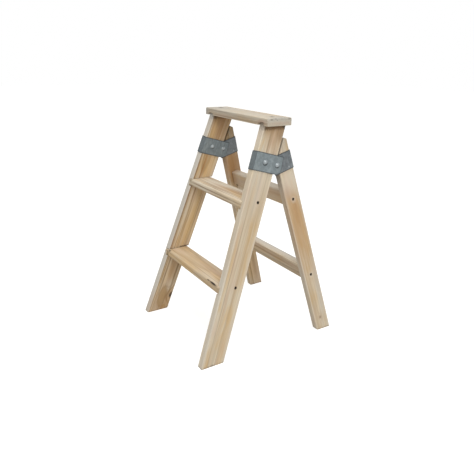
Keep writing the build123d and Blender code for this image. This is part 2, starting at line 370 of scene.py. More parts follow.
@dataclass(frozen=True)
class PlanedPine:
    """Fast-grown pine, planed and left raw.

    Wide growth rings run as long pale and tan lines on the faces, as arches where a face lies along the rings
    and as arcs on the sawn ends. The surface is dull, with a little silkiness in the hard late wood. Real
    fibres are finer than the eye sees here, so they are drawn wider.
    """

    sapwood: str = "#E3D9C4"
    heartwood: str = "#D4B88F"
    latewood: str = "#A37F50"
    rosy: str = "#D3B6A0"
    end_wood: str = "#B3A994"
    rubbed: str = "#E2D5BD"
    resin: str = "#8F6A42"
    roughness: Fade = Fade(0, 1, 0.54, 0.7)
    specular: float = 0.25
    bump_strength: float = 0.4
    bump_height: float = 0.3
    ring_relief: float = 0.5

    fibre: Streak = Streak((150, 2.4, 2.4), 3, 3)
    vein: Streak = Streak((280, 4, 8), 2, 9)
    glow: Streak = Streak((110, 17, 30), 3, 13)
    band: Streak = Streak((560, 9, 20), 2, 5)
    patch: Streak = Streak((170, 45, 60), 2, 7)
    ragged: Streak = Streak((30, 3, 3), 3, 11)
    patch_span: Pair = (0.3, 0.7)
    warmth_spread: float = 0.3
    fibre_shade: Fade = Fade(0.25, 0.75, 1.08, 0.86)
    band_shade: Fade = Fade(0.3, 0.7, 1.06, 0.87)
    honey_glow: Fade = Fade(0.5, 0.66, 0.45)
    rosy_glow: Fade = Fade(0.48, 0.34, 0.4)
    vein_span: Pair = (0.54, 0.67)

    sway: Streak = Streak((420, 80, 80), 2.5)
    wander: float = 10.0
    luck_scale: float = 0.7
    luck_years: float = 1.6
    summer: Fade = Fade(0.35, 0.9)
    winter: Fade = Fade(1.0, 0.86)
    faintest_ring: float = 0.1

    mark_edge: float = 1.5
    sawn_end: Fade = Fade(0.55, 0.85, 0.7)
    dirt_rise: float = 14.0
    foot_dirt: Fade = Fade(13, 7, 0.6)
    ceiling_shade: Fade = Fade(-34, 4, 0.45)
    ceiling_dirt: Fade = Fade(-9, -3, 0.6)
    rubbing: Fade = Fade(0.35, 0.65, 0.45, 0.1)
    corner: Fade = Fade(-5, -1)
    joint_grime: Fade = Fade(6, 2, 0.95)
    behind_nosing: Fade = Fade(7, 10)

    def material(self, board: Board) -> bpy.types.Material:
        """Make the wood of one board.

        Args:
            board: The board to dress.

        Returns:
            The board's material.
        """
        material, tree = new_material(f"planed_pine_{board.node}")
        place = add_node(tree, "TexCoord").outputs
        local = board.lie.local(tree, place["Object"])
        marks, push = self._marks(tree, local, board)
        late, silk = self._rings(tree, local, push, board.figure)
        kinds = (self.fibre, self.vein, self.glow, self.band, self.patch)
        noises = [kind.noise(tree, local, board.figure.seed).outputs[0] for kind in kinds]
        fibre, vein, glow, band, patch = noises

        # Pale wood to tan wood in broad patches, with darker late wood in it
        warmth, spread = board.figure.warmth, self.warmth_spread
        warming = Fade(*self.patch_span, warmth + spread, warmth - spread)
        warm = add_node(tree, "MapRange", warming.feeds(patch)).outputs[0]
        ringed = lay_over(tree, linear(self.sapwood), [(warm, self.heartwood), (late, self.latewood)])

        # Fibres and long bands change the brightness a little
        fine = add_node(tree, "MapRange", self.fibre_shade.feeds(fibre)).outputs[0]
        broad = add_node(tree, "MapRange", self.band_shade.feeds(band)).outputs[0]
        shade = add_node(tree, "Math", {0: fine, 1: broad}, operation="MULTIPLY").outputs[0]
        wood = add_node(tree, "VectorMath", {0: ringed, "Scale": shade}, operation="SCALE").outputs[0]

        # Honey and rosy patches, lines of resin, sawn ends, paler corners with wear and painted highlight,
        # grime and painted shade in the joints, grime at the foot, painted shade under the ceiling, and over
        # all the marks, some of them painted shade
        layers = []
        for noise, fade, tint in (
            (glow, self.honey_glow, Tint.HONEY.value),
            (glow, self.rosy_glow, self.rosy),
            (vein, Fade(*self.vein_span, board.figure.veins), self.resin),
        ):
            layers.append((add_node(tree, "MapRange", fade.feeds(noise), **SMOOTH).outputs[0], tint))
        layers += [
            (self._ends(tree, place["Normal"], board), self.end_wood),
            (self._corners(tree, local, fibre, board), self.rubbed),
            *self._joints(tree, place["Object"], local, board),
            *self._levels(tree, place["Object"], fibre, board),
            *marks,
        ]
        feeds = {0: silk, 1: self.ring_relief, 2: fibre}
        relief = add_node(tree, "Math", feeds, operation="MULTIPLY_ADD").outputs[0]
        bump = {"Strength": self.bump_strength, "Distance": self.bump_height * MM, "Height": relief}
        surface = {
            "Base Color": lay_over(tree, wood, layers),
            "Roughness": add_node(tree, "MapRange", self.roughness.feeds(silk)).outputs[0],
            "Specular IOR Level": self.specular,
            "Normal": add_node(tree, "Bump", bump).outputs[0],
        }
        close_material(tree, surface)
        return material

    def _rings(self, tree: Tree, local: Socket, push: Socket | None, figure: Figure) -> tuple[Socket, Socket]:
        """Growth rings about the heart of the tree.

        Args:
            tree: The node tree.
            local: The board's own coordinates.
            push: How far knots push the rings aside, in millimetres, or None.
            figure: How the board was cut.

        Returns:
            Sockets with the darkness of the late wood, and with its place in every ring.
        """
        noise = self.sway.noise(tree, local, figure.seed).outputs[1]
        middle = {0: noise, 1: (0.5, 0.5, 0.5)}
        centred = add_node(tree, "VectorMath", middle, operation="SUBTRACT").outputs[0]
        feeds = {0: centred, 1: (0, 2 * self.wander, 2 * self.wander), 2: local}
        grown = add_node(tree, "VectorMath", feeds, operation="MULTIPLY_ADD").outputs[0]
        lean = (0, radians(figure.drift[1]), radians(figure.drift[0]))
        feeds = {"Vector": grown, "Location": (0, *figure.heart), "Rotation": lean}
        trunk = add_node(tree, "Mapping", feeds, vector_type="TEXTURE").outputs[0]
        flat = add_node(tree, "VectorMath", {0: trunk, 1: (0, 1, 1)}, operation="MULTIPLY").outputs[0]
        radius = add_node(tree, "VectorMath", {0: flat}, operation="LENGTH").outputs["Value"]
        if push is not None:
            radius = add_node(tree, "Math", {0: radius, 1: push}, operation="ADD").outputs[0]
        even = add_node(tree, "Math", {0: radius, 1: figure.ring}, operation="DIVIDE").outputs[0]

        # Good and bad years make wide and narrow rings
        feeds = {"W": even, "Scale": self.luck_scale, "Detail": 0.0}
        luck = add_node(tree, "TexNoise", feeds, noise_dimensions="1D").outputs[0]
        feeds = {0: luck, 1: self.luck_years, 2: even}
        years = add_node(tree, "Math", feeds, operation="MULTIPLY_ADD").outputs[0]
        year = add_node(tree, "Math", {0: years}, operation="FLOOR").outputs[0]
        season = add_node(tree, "Math", {0: years}, operation="FRACT").outputs[0]
        summer = add_node(tree, "MapRange", self.summer.feeds(season), **SMOOTH).outputs[0]
        winter = add_node(tree, "MapRange", self.winter.feeds(season), **SMOOTH).outputs[0]
        silk = add_node(tree, "Math", {0: summer, 1: winter}, operation="MULTIPLY").outputs[0]
        mood = add_node(tree, "TexWhiteNoise", {"W": year}, noise_dimensions="1D").outputs["Value"]
        weight = Fade(0, 1, figure.contrast, self.faintest_ring)
        depth = add_node(tree, "MapRange", weight.feeds(mood)).outputs[0]
        late = add_node(tree, "Math", {0: silk, 1: depth}, operation="MULTIPLY").outputs[0]
        return late, silk

    def _marks(self, tree: Tree, local: Socket, board: Board) -> tuple[list[Layer], Socket | None]:
        """Knots, streaks, patches and stains, and how knots push the rings aside.

        Args:
            tree: The node tree.
            local: The board's own coordinates.
            board: The board.

        Returns:
            A mask and a colour for each mark, and a socket with the push in millimetres, or None.
        """
        layers: list[Layer] = []
        push: Socket | None = None
        ragged = self.ragged.noise(tree, local, board.figure.seed).outputs[0]
        for mark in board.marks:
            away = add_node(tree, "VectorMath", {0: local, 1: mark.at}, operation="SUBTRACT").outputs[0]
            scaled = add_node(tree, "VectorMath", {0: away, 1: mark.size}, operation="DIVIDE").outputs[0]
            near = add_node(tree, "VectorMath", {0: scaled}, operation="LENGTH").outputs["Value"]
            rough = add_node(tree, "Math", {0: ragged, 1: near}, operation="ADD").outputs[0]
            edge = Fade(self.mark_edge + mark.blur, self.mark_edge - mark.blur, mark.strength)
            spot = add_node(tree, "MapRange", edge.feeds(rough), **SMOOTH).outputs[0]
            layers.append((spot, mark.tint.value))
            if mark.push:
                bulge = Fade(mark.reach, 0.0, mark.push)
                aside = add_node(tree, "MapRange", bulge.feeds(near), **SMOOTH).outputs[0]
                if push is not None:
                    aside = add_node(tree, "Math", {0: push, 1: aside}, operation="ADD").outputs[0]
                push = aside
        return layers, push

    def _ends(self, tree: Tree, normal: Socket, board: Board) -> Socket:
        """Where the saw cut across the grain.

        Args:
            tree: The node tree.
            normal: The surface's direction.
            board: The board.

        Returns:
            The mask of the sawn ends.
        """
        feeds = {0: normal, 1: board.lie.along}
        facing = add_node(tree, "VectorMath", feeds, operation="DOT_PRODUCT").outputs["Value"]
        square = add_node(tree, "Math", {0: facing}, operation="ABSOLUTE").outputs[0]
        return add_node(tree, "MapRange", self.sawn_end.feeds(square), **SMOOTH).outputs[0]

    def _levels(self, tree: Tree, place: Socket, fibre: Socket, board: Board) -> list[Layer]:
        """Dirt that a foot takes up from the floor, and painted shade below a ceiling such as the cap.

        Args:
            tree: The node tree.
            place: Object coordinates.
            fibre: Noise that breaks the grime and the painted shade up.
            board: The board.

        Returns:
            A mask and a colour for each.
        """
        height = add_node(tree, "SeparateXYZ", {0: place}).outputs["Z"]
        feeds = {0: fibre, 1: self.dirt_rise * MM, 2: height}
        ragged = add_node(tree, "Math", feeds, operation="MULTIPLY_ADD").outputs[0]
        levels = [(0.0, self.foot_dirt, Tint.GRIME)]
        if board.ceiling:
            # Painted shade below the ceiling, and a darker painted shadow line close under it
            levels.append((board.ceiling, self.ceiling_shade, Tint.UMBER))
            levels.append((board.ceiling, self.ceiling_dirt, Tint.GRIME))
        layers = []
        for level, fade, tint in levels:
            mask = add_node(tree, "MapRange", fade.feeds(ragged, level, MM), **SMOOTH).outputs[0]
            layers.append((mask, tint.value))
        return layers

    def _corners(self, tree: Tree, local: Socket, fibre: Socket, board: Board) -> Socket:
        """Paler long corners: wear from hands and feet, and painted highlight along the arrises.

        Args:
            tree: The node tree.
            local: The board's own coordinates.
            fibre: Noise that breaks the paler corners up.
            board: The board.

        Returns:
            The mask of the paler corners.
        """
        out = add_node(tree, "VectorMath", {0: local}, operation="ABSOLUTE").outputs[0]
        axes = add_node(tree, "SeparateXYZ", {0: out}).outputs
        rubbed = add_node(tree, "MapRange", self.rubbing.feeds(fibre)).outputs[0]
        for axis, size in (("Y", board.width), ("Z", board.thickness)):
            edge = add_node(tree, "MapRange", self.corner.feeds(axes[axis], size / 2)).outputs[0]
            rubbed = add_node(tree, "Math", {0: rubbed, 1: edge}, operation="MULTIPLY").outputs[0]
        return rubbed

    def _joints(self, tree: Tree, place: Socket, local: Socket, board: Board) -> list[Layer]:
        """Grime and painted shade in the line where a board goes into its neighbours, behind the nosing.

        Args:
            tree: The node tree.
            place: Object coordinates.
            local: The board's own coordinates.
            board: The board.

        Returns:
            A mask and its colour, or nothing.
        """
        if board.joint is None:
            return []
        axes = add_node(tree, "SeparateXYZ", {0: place}).outputs
        out = add_node(tree, "Math", {0: axes["X"]}, operation="ABSOLUTE").outputs[0]
        folded = add_node(tree, "CombineXYZ", {"X": out, "Y": axes["Y"], "Z": axes["Z"]}).outputs[0]
        feeds = {0: folded, 1: board.joint.outward}
        reach = add_node(tree, "VectorMath", feeds, operation="DOT_PRODUCT").outputs["Value"]
        feeds = {0: reach, 1: board.joint.distance * MM}
        gap = add_node(tree, "Math", feeds, operation="SUBTRACT").outputs[0]
        away = add_node(tree, "Math", {0: gap}, operation="ABSOLUTE").outputs[0]
        # Painted shade, with grime, along the joint line
        line = add_node(tree, "MapRange", self.joint_grime.feeds(away, unit=MM), **SMOOTH).outputs[0]
        across = add_node(tree, "SeparateXYZ", {0: local}).outputs["Y"]
        clear = self.behind_nosing.feeds(across, -board.width / 2)
        behind = add_node(tree, "MapRange", clear).outputs[0]
        mask = add_node(tree, "Math", {0: line, 1: behind}, operation="MULTIPLY").outputs[0]
        return [(mask, Tint.GRIME.value)]


@dataclass(frozen=True)
class Strap:
    """A hinge strap: how its sheet lies, its half height, where its free edge is and where heads stand on it.

    The sheet folded round the board's edge faces along bend_faces and takes painted shade; grime is how much
    has dried on the strap, from 0 to 1.
    """

    node: str
    lie: Lie
    half_height: float
    free_edge: float
    bend_faces: Vector
    grime: float
    heads: tuple[Triple, ...] = ()


@dataclass(frozen=True)
class GalvanisedSheet:
    """Mild steel sheet, hot-dip galvanised: blue-grey zinc with flat crystals, gone dull in the weather.

    Sheared edges are darker where the zinc is worn, with painted shade along them; the fold round the board
    and the sheet below each rivet's head are darkened as painted shade.
    """

    zinc: str
    dull: str
    bloom: str
    thin: str = "#363B3E"
    roughness: Fade = Fade(0, 1, 0.66, 0.52)
    metallic: float = 0.45
    bump_strength: float = 0.2
    bump_height: float = 0.2
    crystal: float = 7.0
    jitter: Streak = Streak((5, 5, 5), 2)
    jitter_reach: float = 3.0
    cloud: Streak = Streak((22, 22, 22), 5)
    whitened: Fade = Fade(0.5, 0.75, 0.6)
    run: Streak = Streak((26, 5, 9), 4)
    run_span: Pair = (0.3, 0.65)
    sheared: Fade = Fade(-3.5, -0.5, 0.85)
    free_reach: float = 3.0
    head_drop: float = 2.5
    head_dirt: Fade = Fade(10.5, 7.5, 0.75)
    bent: Fade = Fade(0.2, 0.8, 0.4)

    def material(self, strap: Strap) -> bpy.types.Material:
        """Make the sheet of one strap.

        Args:
            strap: The strap to dress.

        Returns:
            The strap's material.
        """
        material, tree = new_material(f"galvanised_sheet_{strap.node}")
        place = add_node(tree, "TexCoord").outputs
        local = strap.lie.local(tree, place["Object"])
        kinds = (self.jitter, self.cloud, self.run)
        jitter, cloud, runs = (kind.noise(tree, local).outputs for kind in kinds)
        feeds = {0: jitter[1], 1: (self.jitter_reach,) * 3, 2: local}
        uneven = add_node(tree, "VectorMath", feeds, operation="MULTIPLY_ADD").outputs[0]
        feeds = {"Vector": uneven, "Scale": 1 / self.crystal}
        crystals = add_node(tree, "TexVoronoi", feeds).outputs["Color"]
        flake = add_node(tree, "SeparateXYZ", {0: crystals}).outputs["X"]
        white = add_node(tree, "MapRange", self.whitened.feeds(cloud[0])).outputs[0]
        dried = Fade(*self.run_span, strap.grime)
        # Dried runs of grime, then wear and painted shade at the edges, painted shade on the fold and below
        # the heads
        dark = [
            add_node(tree, "MapRange", dried.feeds(runs[0])).outputs[0],
            self._edges(tree, local, strap),
            self._bend(tree, place["Normal"], strap),
            *(self._under(tree, local, head) for head in strap.heads),
        ]
        layers = [(flake, self.zinc), (white, self.bloom), *((mask, self.thin) for mask in dark)]
        bump = {"Strength": self.bump_strength, "Distance": self.bump_height * MM, "Height": cloud[0]}
        surface = {
            "Base Color": lay_over(tree, linear(self.dull), layers),
            "Roughness": add_node(tree, "MapRange", self.roughness.feeds(flake)).outputs[0],
            "Metallic": self.metallic,
            "Normal": add_node(tree, "Bump", bump).outputs[0],
        }
        close_material(tree, surface)
        return material

    def _edges(self, tree: Tree, local: Socket, strap: Strap) -> Socket:
        """Wear and painted shade along the sheet's edges.

        Args:
            tree: The node tree.
            local: The strap's own coordinates.
            strap: The strap.

        Returns:
            The mask of the edges.
        """
        axes = add_node(tree, "SeparateXYZ", {0: local}).outputs
        height = add_node(tree, "Math", {0: axes["X"]}, operation="ABSOLUTE").outputs[0]
        feeds = self.sheared.feeds(height, strap.half_height)
        level = add_node(tree, "MapRange", feeds, **SMOOTH).outputs[0]
        inward = self.free_reach if strap.free_edge < 0 else -self.free_reach
        feeds = Fade(inward, 0.0, self.sheared.most).feeds(axes["Y"], strap.free_edge)
        free = add_node(tree, "MapRange", feeds, **SMOOTH).outputs[0]
        return add_node(tree, "Math", {0: level, 1: free}, operation="MAXIMUM").outputs[0]

    def _under(self, tree: Tree, local: Socket, head: Triple) -> Socket:
        """Painted shadow below a rivet's head.

        Args:
            tree: The node tree.
            local: The strap's own coordinates.
            head: The middle of the head.

        Returns:
            The mask of the dirt.
        """
        feeds = {0: local, 1: Vector(head) - Vector((self.head_drop, 0, 0))}
        away = add_node(tree, "VectorMath", feeds, operation="DISTANCE").outputs["Value"]
        return add_node(tree, "MapRange", self.head_dirt.feeds(away), **SMOOTH).outputs[0]

    def _bend(self, tree: Tree, normal: Socket, strap: Strap) -> Socket:
        """Painted shade on the face that is folded round the edge of the board.

        Args:
            tree: The node tree.
            normal: The surface's direction.
            strap: The strap.

        Returns:
            The mask of that face.
        """
        feeds = {0: normal, 1: strap.bend_faces}
        facing = add_node(tree, "VectorMath", feeds, operation="DOT_PRODUCT").outputs["Value"]
        return add_node(tree, "MapRange", self.bent.feeds(facing), **SMOOTH).outputs[0]


@dataclass(frozen=True)
class PlatedSteel:
    """Steel fastener, thinly plated: bright zinc on rivets and nails, dark phosphate on screws.

    A standing head is darker on its lower side, a crescent of painted shade. The real grit of the plating is
    too fine to show, so it is drawn coarser.
    """

    name: str
    face: str
    worn: str
    dirt: str
    roughness: float
    metallic: float
    wear_dulling: float = 0.12
    grit: Streak = Streak((1.5, 1.5, 1.5), 3)
    wear: Fade = Fade(0.4, 0.7)
    under: Triple = (0, 0.5, -0.85)
    crescent: Fade = Fade(0.1, 0.6, 0.9)
    bump_strength: float = 0.15
    bump_height: float = 0.1

    def material(self) -> bpy.types.Material:
        """Make the fastener's material.

        Returns:
            The material.
        """
        material, tree = new_material(self.name)
        place = add_node(tree, "TexCoord").outputs
        feeds = {"Vector": place["Object"], "Scale": (MM, MM, MM)}
        local = add_node(tree, "Mapping", feeds, vector_type="TEXTURE").outputs[0]
        grit = self.grit.noise(tree, local).outputs[0]
        rub = add_node(tree, "MapRange", self.wear.feeds(grit)).outputs[0]
        # Painted shade on the side of a head that faces down and to the rear
        feeds = {0: place["Normal"], 1: self.under}
        below = add_node(tree, "VectorMath", feeds, operation="DOT_PRODUCT").outputs["Value"]
        dirt = add_node(tree, "MapRange", self.crescent.feeds(below), **SMOOTH).outputs[0]
        dulling = Fade(0, 1, self.roughness + self.wear_dulling, self.roughness)
        bump = {"Strength": self.bump_strength, "Distance": self.bump_height * MM, "Height": grit}
        surface = {
            "Base Color": lay_over(tree, linear(self.face), [(rub, self.worn), (dirt, self.dirt)]),
            "Roughness": add_node(tree, "MapRange", dulling.feeds(rub)).outputs[0],
            "Metallic": self.metallic,
            "Normal": add_node(tree, "Bump", bump).outputs[0],
        }
        close_material(tree, surface)
        return material


def packed_box(node: str) -> tuple[Vector, Vector]:
    """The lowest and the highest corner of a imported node, in millimetres."""
    low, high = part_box(node)
    return low / MM, high / MM


def level_board(node: str) -> tuple[Lie, Vector]:
    """How a level board lies, from side to side.

    Args:
        node: The board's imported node.

    Returns:
        Its lie through its middle, and half its length, depth and thickness.
    """
    low, high = packed_box(node)
    return Lie((low + high) / 2, Vector((1, 0, 0)), Vector((0, 1, 0))), (high - low) / 2


@dataclass
class Layout:
    """Where the boards of the ladder stand, in millimetres.

    The angles and the sections of the boards are those of the part, and the feet and the pivot come from the
    frame. The pivot is level with the outer face of the right stile, and the legs stand leg_clear behind it.
    """

    splay: float = radians(4.8)
    stile_lean: float = radians(18.8)
    leg_lean: float = radians(16.4)
    leg_clear: float = 2.8
    stile_width: float = 77.0
    leg_width: float = 56.0
    thickness: float = 26.0
    strap_height: float = 58.0
    floor_half_width: float = field(init=False)
    toe: float = field(init=False)
    pivot: Vector = field(init=False)
    pivot_along: float = field(init=False)
    leg_below_pivot: float = field(init=False)

    def __post_init__(self) -> None:
        """Find the feet and the pivot, and measure a stile and a leg up to the pivot."""
        self.floor_half_width = packed_box("right_stile")[1].x
        # The toe's corner is rounded off, but the toe is as far forward as the heel is back
        self.toe = -packed_box("right_rear_leg")[1].y
        self.pivot = Vector(frame["joints"][0]["pos_m"]) / MM
        self.pivot.x = self.outer_x(self.pivot.z)
        stile = self.stile(Side.RIGHT)
        self.pivot_along = stile.along.dot(self.pivot - stile.start)
        rise = self.pivot.z + self.leg_clear * sin(self.leg_lean)
        self.leg_below_pivot = rise / (cos(self.splay) * cos(self.leg_lean))

    def stile(self, side: Side) -> Upright:
        """A stile, from the outer corner of its front toe.

        Args:
            side: Left or right.

        Returns:
            Its start and its directions.
        """
        flip = Matrix.Diagonal((side.value, 1, 1))
        splay, lean = self.splay, self.stile_lean
        along = Vector((-sin(splay) * cos(lean), sin(lean), cos(splay) * cos(lean)))
        across = Vector((sin(splay) * sin(lean), cos(lean), -cos(splay) * sin(lean)))
        out = Vector((cos(splay), 0, sin(splay)))
        start = Vector((side.value * self.floor_half_width, self.toe, 0))
        return Upright(start, flip @ along, flip @ across, flip @ out)

    def up_stile(self, height: float) -> float:
        """Distance along a stile's front edge to a height."""
        return height / (cos(self.splay) * cos(self.stile_lean))

    def stile_front(self, height: float) -> float:
        """Place of the stiles' front edge at a height."""
        return self.toe + tan(self.stile_lean) / cos(self.splay) * height

    def outer_x(self, height: float) -> float:
        """Half width over the stiles at a height."""
        return self.floor_half_width - tan(self.splay) * height

    def leg_middle(self) -> float:
        """Distance across a leg from the pivot's line to its middle."""
        return self.leg_clear + self.leg_width / 2

    def leg(self, side: Side) -> Upright:
        """A rear leg, from its toe on the line of the pivot.

        Args:
            side: Left or right.

        Returns:
            Its start and its directions.
        """
        flip = Matrix.Diagonal((side.value, 1, 1))
        splay, lean = self.splay, self.leg_lean
        along = flip @ Vector((-sin(splay), -cos(splay) * sin(lean), cos(splay) * cos(lean)))
        across = Vector((0, cos(lean), sin(lean)))
        out = flip @ Vector((cos(splay), -sin(splay) * sin(lean), sin(splay) * cos(lean)))
        return Upright(flip @ self.pivot - along * self.leg_below_pivot, along, across, out)


def dress_node(node: str, material: bpy.types.Material) -> None:
    """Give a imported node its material.

    Args:
        node: The node's name.
        material: Its material.
    """
    for slot in frame["nodes"][node].material_slots:
        slot.material = material
    log.info("%s: %s", node, material.name)


def seat(point: Vector, axis: Vector, spin: float = 0.0) -> Matrix:
    """Where a fastener sits.

    Args:
        point: A place on the surface in millimetres.
        axis: The way out of the hole.
        spin: Its turn about that axis in radians.

    Returns:
        The matrix from the fastener's own millimetres to the ladder's metres.
    """
    turn = axis.to_track_quat("Z", "Y").to_matrix().to_4x4()
    return Matrix.Translation(point * MM) @ turn @ Matrix.Rotation(spin, 4, "Z") @ Matrix.Scale(MM, 4)


@dataclass
class Fixings:
    """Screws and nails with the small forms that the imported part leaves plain.

    Their sizes are in millimetres, and their profiles give radius and height above the seat.
    """

    screw_finish: PlatedSteel
    nail_finish: PlatedSteel
    screw_top: float = -3.0
    screw_rim: float = 3.0
    screw_sides: int = 24
    screw_profile: tuple[Pair, ...] = ((3.25, -0.25), (3.25, -0.6), (1.9, -2.5), (1.9, -41), (0.3, -45))
    recess_reach: float = 1.9
    recess_half_width: float = 0.5
    recess_depth: float = 1.3
    recess_taper: float = 0.55
    nail_profile: tuple[Pair, ...] = ((0, 1), (1.7, 0.95), (2.6, 0.75), (3, 0.4), (3, 0), (0, 0))
    nail_steps: int = 20
    nail_shank: float = 2.5
    nail_length: float = 10.0
    nail_taper: float = 0.2
    merge_distance: float = 0.001
    crease: float = radians(35)
    makers: dict[Fastener, Maker] = field(init=False)

    def __post_init__(self) -> None:
        """Make the two materials, which all screws and all nails share."""
        screw, nail = self.screw_finish.material(), self.nail_finish.material()
        self.makers = {Fastener.SCREW: (self.screw, screw), Fastener.NAIL: (self.nail, nail)}

    def screw(self) -> bmesh.types.BMesh:
        """A countersunk wood screw with a cross recess.

        Returns:
            The screw, on its seat.
        """
        bm = bmesh.new()
        bmesh.ops.create_circle(bm, segments=self.screw_sides, radius=self.screw_rim)
        rim = list(bm.edges)
        far, near = self.recess_reach, self.recess_half_width
        arm = [Vector(corner) for corner in ((far, -near), (far, near), (near, near))]
        turns = [Matrix.Rotation(quarter * pi / 2, 2) for quarter in range(4)]
        cross = [bm.verts.new((*(turn @ corner), 0)) for turn in turns for corner in arm]
        lips = [bm.edges.new(pair) for pair in zip(cross, cross[1:] + cross[:1])]
        bmesh.ops.bridge_loops(bm, edges=rim + lips)
        floor = bmesh.ops.extrude_face_region(bm, geom=[bm.faces.new(cross)])["geom"]
        sunk = [part for part in floor if isinstance(part, bmesh.types.BMVert)]
        bmesh.ops.scale(bm, verts=sunk, vec=(self.recess_taper, self.recess_taper, 1))
        bmesh.ops.translate(bm, verts=sunk, vec=(0, 0, -self.recess_depth))
        for radius, height in self.screw_profile:
            made = bmesh.ops.extrude_edge_only(bm, edges=rim)["geom"]
            ring = [part for part in made if isinstance(part, bmesh.types.BMVert)]
            edges = [part for part in made if isinstance(part, bmesh.types.BMEdge)]
            rim = [edge for edge in edges if set(edge.verts) <= set(ring)]
            for vert in ring:
                vert.co = Vector((vert.co.x, vert.co.y, 0)).normalized() * radius + Vector((0, 0, height))
        bmesh.ops.contextual_create(bm, geom=rim)
        bmesh.ops.translate(bm, verts=bm.verts, vec=(0, 0, self.screw_top))
        return bm

    def nail(self) -> bmesh.types.BMesh:
        """A clout nail with a slightly domed head and a tapered square shank.

        Returns:
            The nail, on its seat.
        """
        bm = bmesh.new()
        verts = [bm.verts.new((x, 0, z)) for x, z in self.nail_profile]
        edges = [bm.edges.new(pair) for pair in zip(verts, verts[1:])]
        spun = {"axis": (0, 0, 1), "cent": (0, 0, 0), "angle": 2 * pi, "steps": self.nail_steps}
        bmesh.ops.spin(bm, geom=verts + edges, use_merge=True, **spun)
        bmesh.ops.remove_doubles(bm, verts=bm.verts, dist=self.merge_distance)
        middle = -self.nail_length / 2
        shape = Matrix.Diagonal((self.nail_shank, self.nail_shank, self.nail_length, 1))
        shape = Matrix.Translation((0, 0, middle)) @ shape
        shank = bmesh.ops.create_cube(bm, size=1, matrix=shape)["verts"]
        point = [vert for vert in shank if vert.co.z < middle]
        bmesh.ops.scale(bm, verts=point, vec=(self.nail_taper, self.nail_taper, 1))
        return bm

    def fit(self, node: str, body: Body, kind: Fastener, seats: list[Matrix]) -> None:
        """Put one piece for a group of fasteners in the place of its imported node.

        Args:
            node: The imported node.
            body: The frame that it rides on.
            kind: Screws or nails.
            seats: Where they sit.
        """
        shape, material = self.makers[kind]
        whole = bmesh.new()
        mesh = bpy.data.meshes.new(f"{node}_detail")
        for place in seats:
            one = shape()
            bmesh.ops.recalc_face_normals(one, faces=one.faces)
            one.transform(place)
            one.to_mesh(mesh)
            one.free()
            whole.from_mesh(mesh)
        whole.to_mesh(mesh)
        whole.free()
        mesh.polygons.foreach_set("use_smooth", [True] * len(mesh.polygons))
        mesh.set_sharp_from_angle(angle=self.crease)
        mesh.materials.append(material)
        piece = bpy.data.objects.new(f"{node}_detail", mesh)
        bpy.context.scene.collection.objects.link(piece)
        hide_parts(node)
        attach(piece, body.value)
        log.info("%s: %s", piece.name, material.name)


@dataclass
class LadderFrame(ABC):
    """A frame of the ladder: boards, and one half of each hinge."""

    layout: Layout
    wood: PlanedPine
    zinc: GalvanisedSheet

    @abstractmethod
    def boards(self) -> list[Board]:
        """The frame's boards, with the figure that each one shows."""

    @abstractmethod
    def straps(self) -> list[Strap]:
        """The frame's hinge straps."""

    @abstractmethod
    def fasten(self, fixings: Fixings) -> None:
        """Put in the frame's screws and nails."""

    def dress(self) -> None:
        """Give the boards their wood and the straps their sheet."""
        for board in self.boards():
            dress_node(board.node, self.wood.material(board))
        for strap in self.straps():
            dress_node(strap.node, self.zinc.material(strap))


